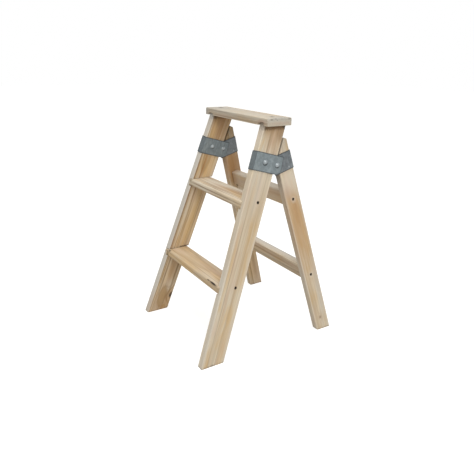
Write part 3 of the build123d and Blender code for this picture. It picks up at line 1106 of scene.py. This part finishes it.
@dataclass
class FrontFrame(LadderFrame):
    """Stiles, treads and cap, with the front halves of the hinges and their rivets."""

    rivet: PlatedSteel
    tread_screw_setback: float = 48.0
    tread_screw_drop: float = 8.0
    tread_screw_spin: float = 0.4
    cap_screw_setback: float = 40.0
    cap_screw_spin: float = 0.7
    strap_drop: float = 5.7
    strap_rake: float = radians(3.5)
    strap_reach: float = 22.0
    strap_grime: dict[Side, float] = field(default_factory=lambda: {Side.RIGHT: 0.1, Side.LEFT: 0.35})
    stile_rivet: Pair = (2.2, 36.0)
    corner_grime: tuple[float, ...] = (8.0, 17.0, 26.0, 35.0)
    corner_grime_rise: float = 3.0
    tread_tops: dict[Level, float] = field(init=False)

    def __post_init__(self) -> None:
        """Find the tops of the treads."""
        self.tread_tops = {level: packed_box(level.named("tread"))[1].z for level in Level}

    def boards(self) -> list[Board]:
        """The frame's boards, with the figure that each one shows."""
        return [*map(self._stile, Side), *map(self._tread, Level), self._cap()]

    def straps(self) -> list[Strap]:
        """The frame's hinge straps, which rise a little to the rear.

        Returns:
            The right one and the left one.
        """
        plan = self.layout
        run, rise = cos(self.strap_rake), sin(self.strap_rake)
        drop, setback = self.stile_rivet
        free = plan.stile_width + self.strap_reach
        found = []
        for side in Side:
            stile = plan.stile(side)
            along, across = stile.along, stile.across
            origin = stile.point(plan.pivot_along - self.strap_drop, 0, 0)
            lie = Lie(origin, along * run - across * rise, across * run + along * rise)
            rivet = stile.point(plan.pivot_along - drop, setback, 0)
            pivot = Vector((origin.x, plan.pivot.y, plan.pivot.z))
            heads = tuple(lie.flat(spot) for spot in (rivet, pivot))
            node, grime = side.named("front_strap"), self.strap_grime[side]
            found.append(Strap(node, lie, plan.strap_height / 2, free, -across, grime, heads))
        return found

    def dress(self) -> None:
        """Give the boards their wood, the straps their sheet and the rivets their plating."""
        super().dress()
        plating = self.rivet.material()
        for node in ("stile_rivets", "pivot_rivets"):
            dress_node(node, plating)

    def fasten(self, fixings: Fixings) -> None:
        """Put in the screws of the treads and the cap.

        Args:
            fixings: The maker of fasteners.
        """
        for level in Level:
            seats = self._tread_screws(level)
            fixings.fit(level.named("tread_screws"), Body.FRONT, Fastener.SCREW, seats)
        seats = [seat(spot, Vector((0, 0, 1)), self.cap_screw_spin) for spot in self._cap_screws()]
        fixings.fit("cap_screws", Body.FRONT, Fastener.SCREW, seats)

    def _tread_screws(self, level: Level) -> list[Matrix]:
        """Where a tread's screws sit.

        Args:
            level: Lower or upper.

        Returns:
            The right seat and the left one.
        """
        plan = self.layout
        height = self.tread_tops[level] - self.tread_screw_drop
        y = plan.stile_front(height) + self.tread_screw_setback / cos(plan.stile_lean)
        places = [(side, Vector((side.value * plan.outer_x(height), y, height))) for side in Side]
        return [seat(point, Vector((side.value, 0, 0)), self.tread_screw_spin) for side, point in places]

    def _cap_screws(self) -> list[Vector]:
        """Where the cap's screws sit, over the middle of each stile's top.

        Returns:
            The right place and the left one.
        """
        plan = self.layout
        low, high = packed_box("top_cap")
        x = plan.outer_x(packed_box("right_stile")[1].z) - plan.thickness / 2
        return [Vector((side.value * x, low.y + self.cap_screw_setback, high.z)) for side in Side]

    def _stile(self, side: Side) -> Board:
        """A stile, with iron stain and painted shade round its screws.

        Args:
            side: Left or right.

        Returns:
            The stile.
        """
        plan = self.layout
        figure, marks = self._left_stile() if side is Side.LEFT else self._right_stile()
        outer = -side.value * plan.thickness / 2
        setback = self.tread_screw_setback
        for top in self.tread_tops.values():
            along = plan.up_stile(top - self.tread_screw_drop) + setback * tan(plan.stile_lean)
            marks.append(iron_stain((along, setback - plan.stile_width / 2, outer)))
        lie = plan.stile(side).lie(0, plan.stile_width / 2, -plan.thickness / 2)
        node, ceiling = side.named("stile"), packed_box("top_cap")[0].z
        return Board(node, lie, plan.stile_width, plan.thickness, figure, tuple(marks), None, ceiling)

    def _right_stile(self) -> tuple[Figure, list[Mark]]:
        """What grew in the right stile, a plain straight-grained board.

        Returns:
            Its figure and its marks.
        """
        front, face = -self.layout.stile_width / 2, -self.layout.thickness / 2
        marks = [
            Mark((250, front, 0), (300, 4, 30), Tint.BLOOM, 0.4, 0.6),
            Mark((425, 0, face), (120, 40, 20), Tint.TAN, 0.3, 0.9),
            Mark((250, 12, face), (210, 5, 20), Tint.TAN, 0.4, 0.9),
            Mark((60, 20, face), (120, 10, 20), Tint.HONEY, 0.4, 0.9),
            Mark((180, -14, face), (110, 2.2, 20), Tint.TAN, 0.5, 0.9),
            Mark((330, -28, face), (90, 4, 20), Tint.HONEY, 0.45, 0.9),
            Mark((400, -21, face), (330, 1.8, 20), Tint.UMBER, 0.3),
            Mark((270, 35, face), (260, 7, 20), Tint.PALE, 0.5),
            Mark((580, -8, face), (85, 22, 20), Tint.BLOOM, 0.3, 0.9),
            # Painted shade under the cap
            Mark((745, 14, face), (44, 34, 20), Tint.RUST, 0.4),
            Mark((720, -8, face), (50, 2.5, 20), Tint.UMBER, 0.4),
            # Painted shadow under the cap's rear corner
            Mark((762, 30, face), (20, 14, 20), Tint.UMBER, 0.4),
            Mark((790, 35, face), (7, 6, 20), Tint.BARK, 0.6, 0.5),
            # Painted shade in the gap between the stile and the rear leg
            Mark((705, 39, 0), (70, 3, 30), Tint.GRIME, 0.75, 0.5),
            # Pale front face near the top, laid over the painted shade under the cap
            Mark((755, front, 0), (40, 4, 30), Tint.PALE, 0.45, 0.7),
        ]
        return Figure((-92, 34), (0.3, 0.5), 16, 0.35, 0.28, 1.0, 0.2), marks

    def _left_stile(self) -> tuple[Figure, list[Mark]]:
        """What grew in the left stile: a bark knot at its foot, with the grain swept round it.

        Returns:
            Its figure and its marks, with painted shade in the corner above the lower tread.
        """
        plan = self.layout
        front, face = -plan.stile_width / 2, -plan.thickness / 2
        marks = [
            Mark((380, front, 0), (500, 4, 30), Tint.BLOOM, 0.75, 0.6),
            Mark((380, front + 5, face), (500, 1.4, 5), Tint.UMBER, 0.7),
            Mark((40, 0, face), (50, 44, 20), Tint.RUST, 0.4, 0.9),
            Mark((128, 10, face), (22, 17, 20), Tint.PALE, 0.3, 0.6),
            Mark((76, -2, face), (46, 16, 20), Tint.UMBER, 0.45, 0.3, 24, 2.2),
            Mark((76, -2, face), (40, 12.5, 20), Tint.TAN, 0.75, 0.4),
            Mark((190, 4, face), (50, 12, 20), Tint.RUST, 0.5, 0.9),
            Mark((165, -20, face), (70, 3, 20), Tint.UMBER, 0.5),
            Mark((160, 22, face), (60, 3, 20), Tint.UMBER, 0.4),
            Mark((400, -32, face), (190, 4, 20), Tint.UMBER, 0.3),
            Mark((405, -12, face), (130, 2.6, 20), Tint.UMBER, 0.55),
            Mark((400, -22, face), (120, 4, 20), Tint.PALE, 0.4),
            Mark((420, 12, face), (140, 17, 20), Tint.HONEY, 0.5, 0.9),
            Mark((400, 24, face), (110, 2.4, 20), Tint.UMBER, 0.45),
            Mark((600, 16, face), (60, 14, 20), Tint.HONEY, 0.5, 0.9),
            Mark((600, -11, face), (50, 4, 20), Tint.RUST, 0.6),
            # Warm patch at the top, partly painted shade under the cap
            Mark((738, 9, face), (50, 27, 20), Tint.RUST, 0.55),
            Mark((715, -18, face), (40, 8, 20), Tint.HONEY, 0.5, 0.9),
            # Painted shade in the gap between the stile and the rear leg
            Mark((720, 38, face), (60, 2.5, 20), Tint.BARK, 0.65, 0.5),
            Mark((84, 32, face), (13, 5, 12), Tint.BARK, 0.85, 0.35, 17, 5.0),
            Mark((88, 31, face), (6, 2, 12), Tint.UMBER, 0.8, 0.4),
        ]
        # Painted shade in the corner where the lower tread meets the stile, along its rear half
        corner = plan.up_stile(self.tread_tops[Level.LOWER]) + self.corner_grime_rise
        for back in self.corner_grime:
            rise = corner + (back - front) * tan(plan.stile_lean)
            marks.append(Mark((rise, back, face), (2.5, 7, 6), Tint.GRIME, 0.75, 0.5))
        return Figure((-14, 40), (0.5, 1.1), 13, 0.6, 0.85, 2.0, 0.7), marks

    def _tread(self, level: Level) -> Board:
        """A tread, the lower one with a resin streak and a bruise on its nosing.

        Args:
            level: Lower or upper.

        Returns:
            The tread.
        """
        node = level.named("tread")
        lie, half = level_board(node)
        front, top = -half.y, half.z
        if level is Level.LOWER:
            figure = Figure((10, -60), (0.9, 1.2), 13, 0.8, 0.65, 3.0, 0.4)
            marks = (
                Mark((-30, 4, top), (170, 30, 8), Tint.HONEY, 0.25, 0.9),
                Mark((135, front + 12, top), (55, 9, 8), Tint.PALE, 0.45, 0.9),
                Mark((90, 14, top), (80, 16, 6), Tint.ROSE, 0.2, 0.9),
                Mark((0, 0, top), (200, 34, 8), Tint.PALE, 0.2, 0.9),
                Mark((-20, -front - 7, top), (160, 5, 6), Tint.GREY, 0.35, 0.9),
                Mark((60, front + 16, top), (120, 2, 4), Tint.UMBER, 0.4),
                Mark((150, front + 2, top - 2), (23, 2.6, 3.4), Tint.BARK, 1.0, 0.4),
                Mark((122, front + 2, top - 2), (8, 1.8, 2.6), Tint.BARK, 0.8, 0.5),
                Mark((-165, front + 4, top - 3), (9, 4, 4), Tint.GRIME, 0.8, 0.5),
                Mark((-182, front + 5, top), (8, 2.5, 3), Tint.GRIME, 0.9, 0.4),
                Mark((-178, front + 2, -4), (6, 4, 12), Tint.GRIME, 0.6, 0.6),
            )
        else:
            figure = Figure((-75, -34), (-0.4, -0.5), 13, 0.4, 0.85, 4.0, 0.65)
            marks = (
                Mark((-85, 6, top), (90, 34, 8), Tint.PALE, 0.4, 0.9),
                Mark((60, 4, top), (80, 12, 8), Tint.RUST, 0.45, 0.9),
                Mark((60, 26, top), (90, 6, 8), Tint.PALE, 0.5, 0.9),
                Mark((10, front + 17, top), (120, 1.6, 4), Tint.UMBER, 0.55),
                Mark((95, front + 9, top), (70, 7, 6), Tint.PALE, 0.6, 0.9),
                Mark((20, front + 8, top), (140, 1.8, 4), Tint.UMBER, 0.75),
                Mark((-30, front + 25, top), (110, 2.2, 4), Tint.UMBER, 0.45),
                Mark((30, front, 2), (140, 3, 1.8), Tint.UMBER, 0.6),
                Mark((70, front, -7), (100, 3, 1.6), Tint.UMBER, 0.5),
                Mark((-160, front + 4, top - 3), (10, 5, 8), Tint.GRIME, 0.55, 0.6),
            )
        joint = self.layout.stile(Side.RIGHT).inner_face(self.layout.thickness)
        return Board(node, lie, 2 * half.y, 2 * half.z, figure, marks, joint)

    def _cap(self) -> Board:
        """The cap, with dents on its end, dark spots on its lower front edge at the stiles, and iron stain
        and painted shade round its two screws.

        Returns:
            The cap.
        """
        lie, half = level_board("top_cap")
        front, top, end = -half.y, half.z, half.x
        marks = [
            Mark((0, 0, top), (260, 62, 8), Tint.GREY, 0.5, 0.9),
            Mark((end, 0, 2), (5, 60, 16), Tint.BLOOM, 0.35, 0.8),
            Mark((-150, -12, top), (60, 44, 8), Tint.GREY, 0.7, 0.9),
            Mark((end - 2, -4, top), (6, 50, 3.5), Tint.GREY, 0.75, 0.6),
            Mark((end, 0, -4), (4, 40, 4), Tint.ROSE, 0.3, 0.9),
        ]
        dents = ((-31, 4, 4.5), (-16, 2, 3), (-11, 6, 2.2), (6, 3, 2), (35, 3, 5), (41, 10, 2.5))
        for across, drop, size in dents:
            marks.append(Mark((end, across, top - drop), (4, size, size / 2), Tint.GRIME, 0.55, 0.7))
        # Iron stain and painted shade round the cap's screws
        for spot in self._cap_screws():
            marks.append(Mark(tuple(spot - lie.origin), (7, 8, 5), Tint.BARK, 0.9, 0.5))
        marks += [
            Mark((0, front, 0), (200, 3, 14), Tint.GREY, 0.35, 0.9),
            Mark((-20, front, -7), (170, 3, 2.2), Tint.UMBER, 0.5),
            Mark((40, front, 2), (130, 3, 1.5), Tint.UMBER, 0.3),
            Mark((-90, front, 6), (80, 3, 1.5), Tint.UMBER, 0.4),
            Mark((-178, front, 0), (14, 20, 16), Tint.GREY, 0.75, 0.9),
            Mark((-183, front, -2), (3, 4, 8), Tint.UMBER, 0.6, 0.6),
            Mark((165, 10, top), (26, 34, 8), Tint.GREY, 0.6, 0.9),
            Mark((152, front, -2), (18, 4, 7), Tint.ROSE, 0.45),
            # Dark spots on the lower front edge, where the stiles go into the cap
            Mark((-150, front, -6), (6, 4, 3), Tint.BARK, 0.75, 0.5),
            Mark((155, front, -4), (10, 4, 3), Tint.BARK, 0.65, 0.5),
        ]
        figure = Figure((70, -40), (0.4, 0.4), 12, 0.25, 0.7, 5.0, 0.45)
        return Board("top_cap", lie, 2 * half.y, 2 * half.z, figure, tuple(marks))


@dataclass
class RearFrame(LadderFrame):
    """Rear legs and the rails between them, with the rear halves of the hinges."""

    lower_rail_level: float = 222.0
    upper_rail_gap: float = 71.5
    rail_height: float = 54.0
    rail_screw_spin: float = 1.0
    strap_drop: float = 1.5
    strap_reach: float = 17.0
    strap_seat: float = 2.2
    strap_grime: dict[Side, float] = field(default_factory=lambda: {Side.RIGHT: 0.3, Side.LEFT: 0.15})
    nail_setback: float = 39.0
    nail_drop: float = 22.5
    rail_levels: dict[Level, float] = field(init=False)

    def __post_init__(self) -> None:
        """Place the rails along the legs, the upper one below the straps."""
        strap_low = self.layout.leg_below_pivot - self.strap_drop - self.layout.strap_height / 2
        upper = strap_low - self.upper_rail_gap - self.rail_height / 2
        self.rail_levels = {Level.LOWER: self.lower_rail_level, Level.UPPER: upper}

    def boards(self) -> list[Board]:
        """The frame's boards, with the figure that each one shows."""
        return [*map(self._leg, Side), *map(self._rail, Level)]

    def straps(self) -> list[Strap]:
        """The frame's hinge straps.

        Returns:
            The right one and the left one.
        """
        plan = self.layout
        free = plan.leg_clear - self.strap_reach
        found = []
        for side in Side:
            lie = plan.leg(side).lie(plan.leg_below_pivot - self.strap_drop, 0, 0)
            node, grime = side.named("rear_strap"), self.strap_grime[side]
            found.append(Strap(node, lie, plan.strap_height / 2, free, lie.across, grime))
        return found

    def fasten(self, fixings: Fixings) -> None:
        """Put in the screws of the rails and the nails of the straps, outside and inside each leg.

        Args:
            fixings: The maker of fasteners.
        """
        plan = self.layout
        middle, spin = plan.leg_middle(), self.rail_screw_spin
        for level, along in self.rail_levels.items():
            spots = [(side, plan.leg(side).point(along, middle, 0)) for side in Side]
            seats = [seat(spot, Vector((side.value, 0, 0)), spin) for side, spot in spots]
            fixings.fit(level.named("rail_screws"), Body.REAR, Fastener.SCREW, seats)
        back, up = plan.leg_clear + self.nail_setback, plan.leg_below_pivot - self.nail_drop
        seats = []
        for leg in map(plan.leg, Side):
            seats.append(seat(leg.point(up, back, self.strap_seat), leg.out))
            seats.append(seat(leg.point(up, back, -plan.thickness - self.strap_seat), -leg.out))
        fixings.fit("strap_nails", Body.REAR, Fastener.NAIL, seats)

    def _leg(self, side: Side) -> Board:
        """A rear leg, with a small knot low on the right one, and stain and painted shade round its screws.

        Args:
            side: Left or right.

        Returns:
            The leg.
        """
        plan = self.layout
        front, face = -plan.leg_width / 2, -plan.thickness / 2
        if side is Side.RIGHT:
            figure = Figure((66, 36), (-0.4, 0.6), 17, 0.35, 0.3, 6.0, 0.2)
            marks = [
                Mark((705, 0, face), (36, 40, 20), Tint.GREY, 0.5, 0.9),
                # Painted shade in the gap between the leg and the stile
                Mark((640, front, 0), (80, 3, 30), Tint.GRIME, 0.85, 0.5),
                Mark((330, front, 2), (280, 3, 12), Tint.BLOOM, 0.45, 0.9),
                Mark((400, -4, face), (130, 32, 20), Tint.RUST, 0.62, 0.9),
                Mark((330, -front, 0), (330, 5, 30), Tint.BLOOM, 0.5, 0.7),
                Mark((300, front + 1, face), (220, 2, 4), Tint.PALE, 0.7, 0.6),
                Mark((390, 4, face), (150, 40, 20), Tint.HONEY, 0.25, 0.9),
                Mark((480, 2, face), (60, 10, 20), Tint.RUST, 0.4, 0.9),
                Mark((568, 0, face), (40, 40, 20), Tint.PALE, 0.5, 0.9),
                Mark((535, -18, face), (26, 12, 20), Tint.ROSE, 0.35, 0.9),
                Mark((140, 18, face), (100, 12, 20), Tint.BLOOM, 0.4, 0.9),
                Mark((120, -14, face), (110, 8, 20), Tint.TAN, 0.35, 0.9),
                Mark((38, 2, face), (24, 10, 20), Tint.RUST, 0.2, 0.9),
                Mark((42, -3, face), (6, 4, 12), Tint.UMBER, 0.55, 0.6, 9, 4.0),
            ]
        else:
            figure = Figure((-40, -44), (0.4, -0.8), 13, 0.55, 0.7, 7.0, 0.5)
            marks = [
                Mark((565, -2, face), (60, 34, 20), Tint.RUST, 0.8, 0.9),
                Mark((110, 5, face), (75, 6, 20), Tint.UMBER, 0.5),
                # The darker tip is painted shade, with some grime
                Mark((705, 0, face), (56, 50, 30), Tint.GRIME, 0.42, 0.9),
                Mark((90, -6, face), (60, 20, 20), Tint.HONEY, 0.4, 0.9),
                Mark((48, 12, face), (60, 10, 20), Tint.ROSE, 0.35, 0.9),
                Mark((70, -14, face), (70, 3, 20), Tint.UMBER, 0.5),
                # Painted shade in the gap between the leg and the stile
                Mark((680, front + 1, 0), (80, 3, 30), Tint.BARK, 0.7, 0.5),
            ]
        outer = -side.value * plan.thickness / 2
        for along in self.rail_levels.values():
            marks.append(Mark((along - 2, 1, outer), (10, 8, 5), Tint.PALE, 0.4, 0.7))
            marks.append(iron_stain((along, 0, outer)))
        lie = plan.leg(side).lie(0, plan.leg_middle(), -plan.thickness / 2)
        return Board(side.named("rear_leg"), lie, plan.leg_width, plan.thickness, figure, tuple(marks))

    def _rail(self, level: Level) -> Board:
        """A rail, the upper one with a small knot near its left end.

        Args:
            level: Lower or upper.

        Returns:
            The rail.
        """
        plan = self.layout
        leg = plan.leg(Side.RIGHT)
        spot = leg.point(self.rail_levels[level], plan.leg_middle(), 0)
        face, edge = plan.thickness / 2, self.rail_height / 2
        if level is Level.LOWER:
            figure = Figure((-60, -44), (0.4, 0.5), 13, 0.5, 0.6, 8.0, 0.5)
            marks = (
                Mark((70, -14, face), (120, 12, 8), Tint.GREY, 0.35, 0.9),
                # Painted light on the rail's top edge and its rear corner
                Mark((0, edge, -2), (200, 4, 14), Tint.PALE, 0.9, 0.6),
                Mark((0, edge, -face), (200, 4, 7), Tint.BLOOM, 0.8, 0.6),
                Mark((-10, 12, face), (130, 9, 6), Tint.ROSE, 0.2),
                Mark((20, 4, face), (150, 3, 6), Tint.UMBER, 0.25),
            )
        else:
            figure = Figure((50, -48), (-0.4, 0.6), 13, 0.8, 0.3, 9.0, 0.2)
            marks = (
                Mark((0, 0, face), (200, 40, 8), Tint.ROSE, 0.15, 0.9),
                Mark((0, 0, face), (200, 40, 8), Tint.PALE, 0.35, 0.9),
                # Painted light on the rail's top edge
                Mark((0, edge, 0), (200, 5, 20), Tint.PALE, 0.9, 0.6),
                Mark((-150, 0, 0), (24, 30, 30), Tint.RUST, 0.5, 0.9),
                Mark((100, 8, face), (60, 8, 8), Tint.RUST, 0.25, 0.9),
                Mark((-137, -22, face), (5, 4, 10), Tint.BARK, 0.7, 0.5, 8, 4.0),
            )
        up = Vector((0, -sin(plan.leg_lean), cos(plan.leg_lean)))
        lie = Lie(Vector((0, spot.y, spot.z)), Vector((1, 0, 0)), up)
        node, joint = level.named("rear_rail"), leg.inner_face(plan.thickness)
        return Board(node, lie, self.rail_height, plan.thickness, figure, marks, joint)


@dataclass
class Studio:
    """White floor, soft lamps and the camera, which is given in millimetres and pixels."""

    image: float = 474.0
    eye: Triple = (1337.355, -872.136, 910.358)
    yaw: float = radians(56.873)
    down: float = radians(20.246)
    roll: float = radians(1.325)
    focal_pixels: float = 482.738
    sensor: float = 36.0
    clip: Pair = (0.05, 50.0)
    floor_half_size: float = 15.0
    floor_cells: int = 4
    paper: str = "#C4C2BE"
    paper_roughness: float = 0.9
    paper_glow: float = 0.72
    white: str = "#FFFFFF"
    ambient: float = 0.52
    lamp_power: float = 33.0
    lamp_aim: Triple = (0, 0, 0.4)
    key_spot: Triple = (2.4, -0.8, 2.1)
    key_size: float = 1.4
    overhead_spot: Triple = (0.1, -0.3, 3.2)
    overhead_size: float = 2.0

    def camera(self) -> None:
        """Set the camera where the photograph was taken from."""
        data = bpy.data.cameras.new("photo_camera")
        data.sensor_width = self.sensor
        data.lens = self.sensor * self.focal_pixels / self.image
        data.clip_start, data.clip_end = self.clip
        level = cos(self.down)
        back = Vector((sin(self.yaw) * level, -cos(self.yaw) * level, sin(self.down)))
        right = (-back).cross(Vector((0, 0, 1))).normalized()
        upright = Matrix((right, right.cross(-back), back)).transposed()
        turned = upright @ Matrix.Rotation(self.roll, 3, "Z")
        camera = bpy.data.objects.new("photo_camera", data)
        camera.matrix_world = Matrix.Translation(Vector(self.eye) * MM) @ turned.to_4x4()
        bpy.context.scene.collection.objects.link(camera)
        bpy.context.scene.camera = camera

    def floor(self) -> None:
        """Lay a wide pale floor that is white to the eye and keeps the ladder's shadow."""
        mesh = bpy.data.meshes.new("floor")
        bm = bmesh.new()
        cells = self.floor_cells
        bmesh.ops.create_grid(bm, x_segments=cells, y_segments=cells, size=self.floor_half_size)
        bm.to_mesh(mesh)
        bm.free()
        floor = bpy.data.objects.new("floor", mesh)
        bpy.context.scene.collection.objects.link(floor)
        material, tree = new_material("studio_paper")
        feeds = {"Base Color": linear(self.paper), "Roughness": self.paper_roughness}
        paper = add_node(tree, "BsdfPrincipled", feeds).outputs[0]
        feeds = {"Color": linear(self.white), "Strength": self.paper_glow}
        glow = add_node(tree, "Emission", feeds).outputs[0]
        bright = add_node(tree, "AddShader", {0: paper, 1: glow}).outputs[0]
        shown = add_node(tree, "MixShader", {0: self._seen(tree), 1: paper, 2: bright}).outputs[0]
        add_node(tree, "OutputMaterial", {"Surface": shown})
        mesh.materials.append(material)

    def _seen(self, tree: Tree) -> Socket:
        """Where a ray comes from the camera, a reflection or glass.

        Args:
            tree: The node tree.

        Returns:
            A socket that is 1 there and 0 elsewhere.
        """
        path = add_node(tree, "LightPath").outputs
        rays = {0: path["Is Glossy Ray"], 1: path["Is Transmission Ray"]}
        shiny = add_node(tree, "Math", rays, operation="MAXIMUM").outputs[0]
        return add_node(tree, "Math", {0: path["Is Camera Ray"], 1: shiny}, operation="MAXIMUM").outputs[0]

    def world(self) -> None:
        """Make a white world: full white to the eye, dimmer as light."""
        world = bpy.data.worlds.new("white_room")
        bpy.context.scene.world = world
        world.use_nodes = True
        tree = world.node_tree
        tree.nodes.clear()
        dimmed = Fade(0, 1, 1.0, self.ambient)
        strength = add_node(tree, "MapRange", dimmed.feeds(self._seen(tree))).outputs[0]
        feeds = {"Color": linear(self.white), "Strength": strength}
        sky = add_node(tree, "Background", feeds).outputs[0]
        add_node(tree, "OutputWorld", {"Surface": sky})

    def lamp(self, name: str, spot: Triple, size: float) -> None:
        """Hang a soft square lamp that looks at the ladder.

        Args:
            name: The lamp's name.
            spot: Its place in metres.
            size: Its side in metres.
        """
        data = bpy.data.lights.new(name, "AREA")
        data.shape, data.size, data.energy = "SQUARE", size, self.lamp_power
        lamp = bpy.data.objects.new(name, data)
        lamp.location = spot
        lamp.rotation_mode = "QUATERNION"
        lamp.rotation_quaternion = (Vector(self.lamp_aim) - Vector(spot)).to_track_quat("-Z", "Y")
        bpy.context.scene.collection.objects.link(lamp)

    def light(self) -> None:
        """Light the ladder as in the photograph: soft, from above and from the right."""
        self.world()
        self.lamp("key", self.key_spot, self.key_size)
        self.lamp("overhead", self.overhead_spot, self.overhead_size)


def main() -> None:
    """Dress the ladder and set the scene."""
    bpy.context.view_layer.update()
    plan, pine = Layout(), PlanedPine()
    # Each plating's fourth colour is the painted shade on the lower side of its heads
    rivet = PlatedSteel("zinc_plated_rivet", "#A3ABAE", "#8F979A", "#24282A", roughness=0.28, metallic=0.4)
    screw = PlatedSteel("phosphated_screw", "#1B1512", "#2A2018", "#120D0A", roughness=0.7, metallic=0.3)
    nail = PlatedSteel("galvanised_nail", "#9AA0A1", "#7D8183", "#3A3E40", roughness=0.4, metallic=0.6)
    # The rear straps' zinc is darker and duller than the front straps', partly as painted shade
    front = FrontFrame(plan, pine, GalvanisedSheet("#8A9497", "#798285", "#9CA4A4"), rivet)
    rear = RearFrame(plan, pine, GalvanisedSheet("#81878A", "#6E7376", "#949999"))
    fixings = Fixings(screw, nail)
    for assembly in (front, rear):
        assembly.dress()
        assembly.fasten(fixings)

    studio = Studio()
    studio.camera()
    studio.floor()
    studio.light()
    bpy.context.scene.view_settings.view_transform = "Standard"


if __name__ == "__main__":
    main()
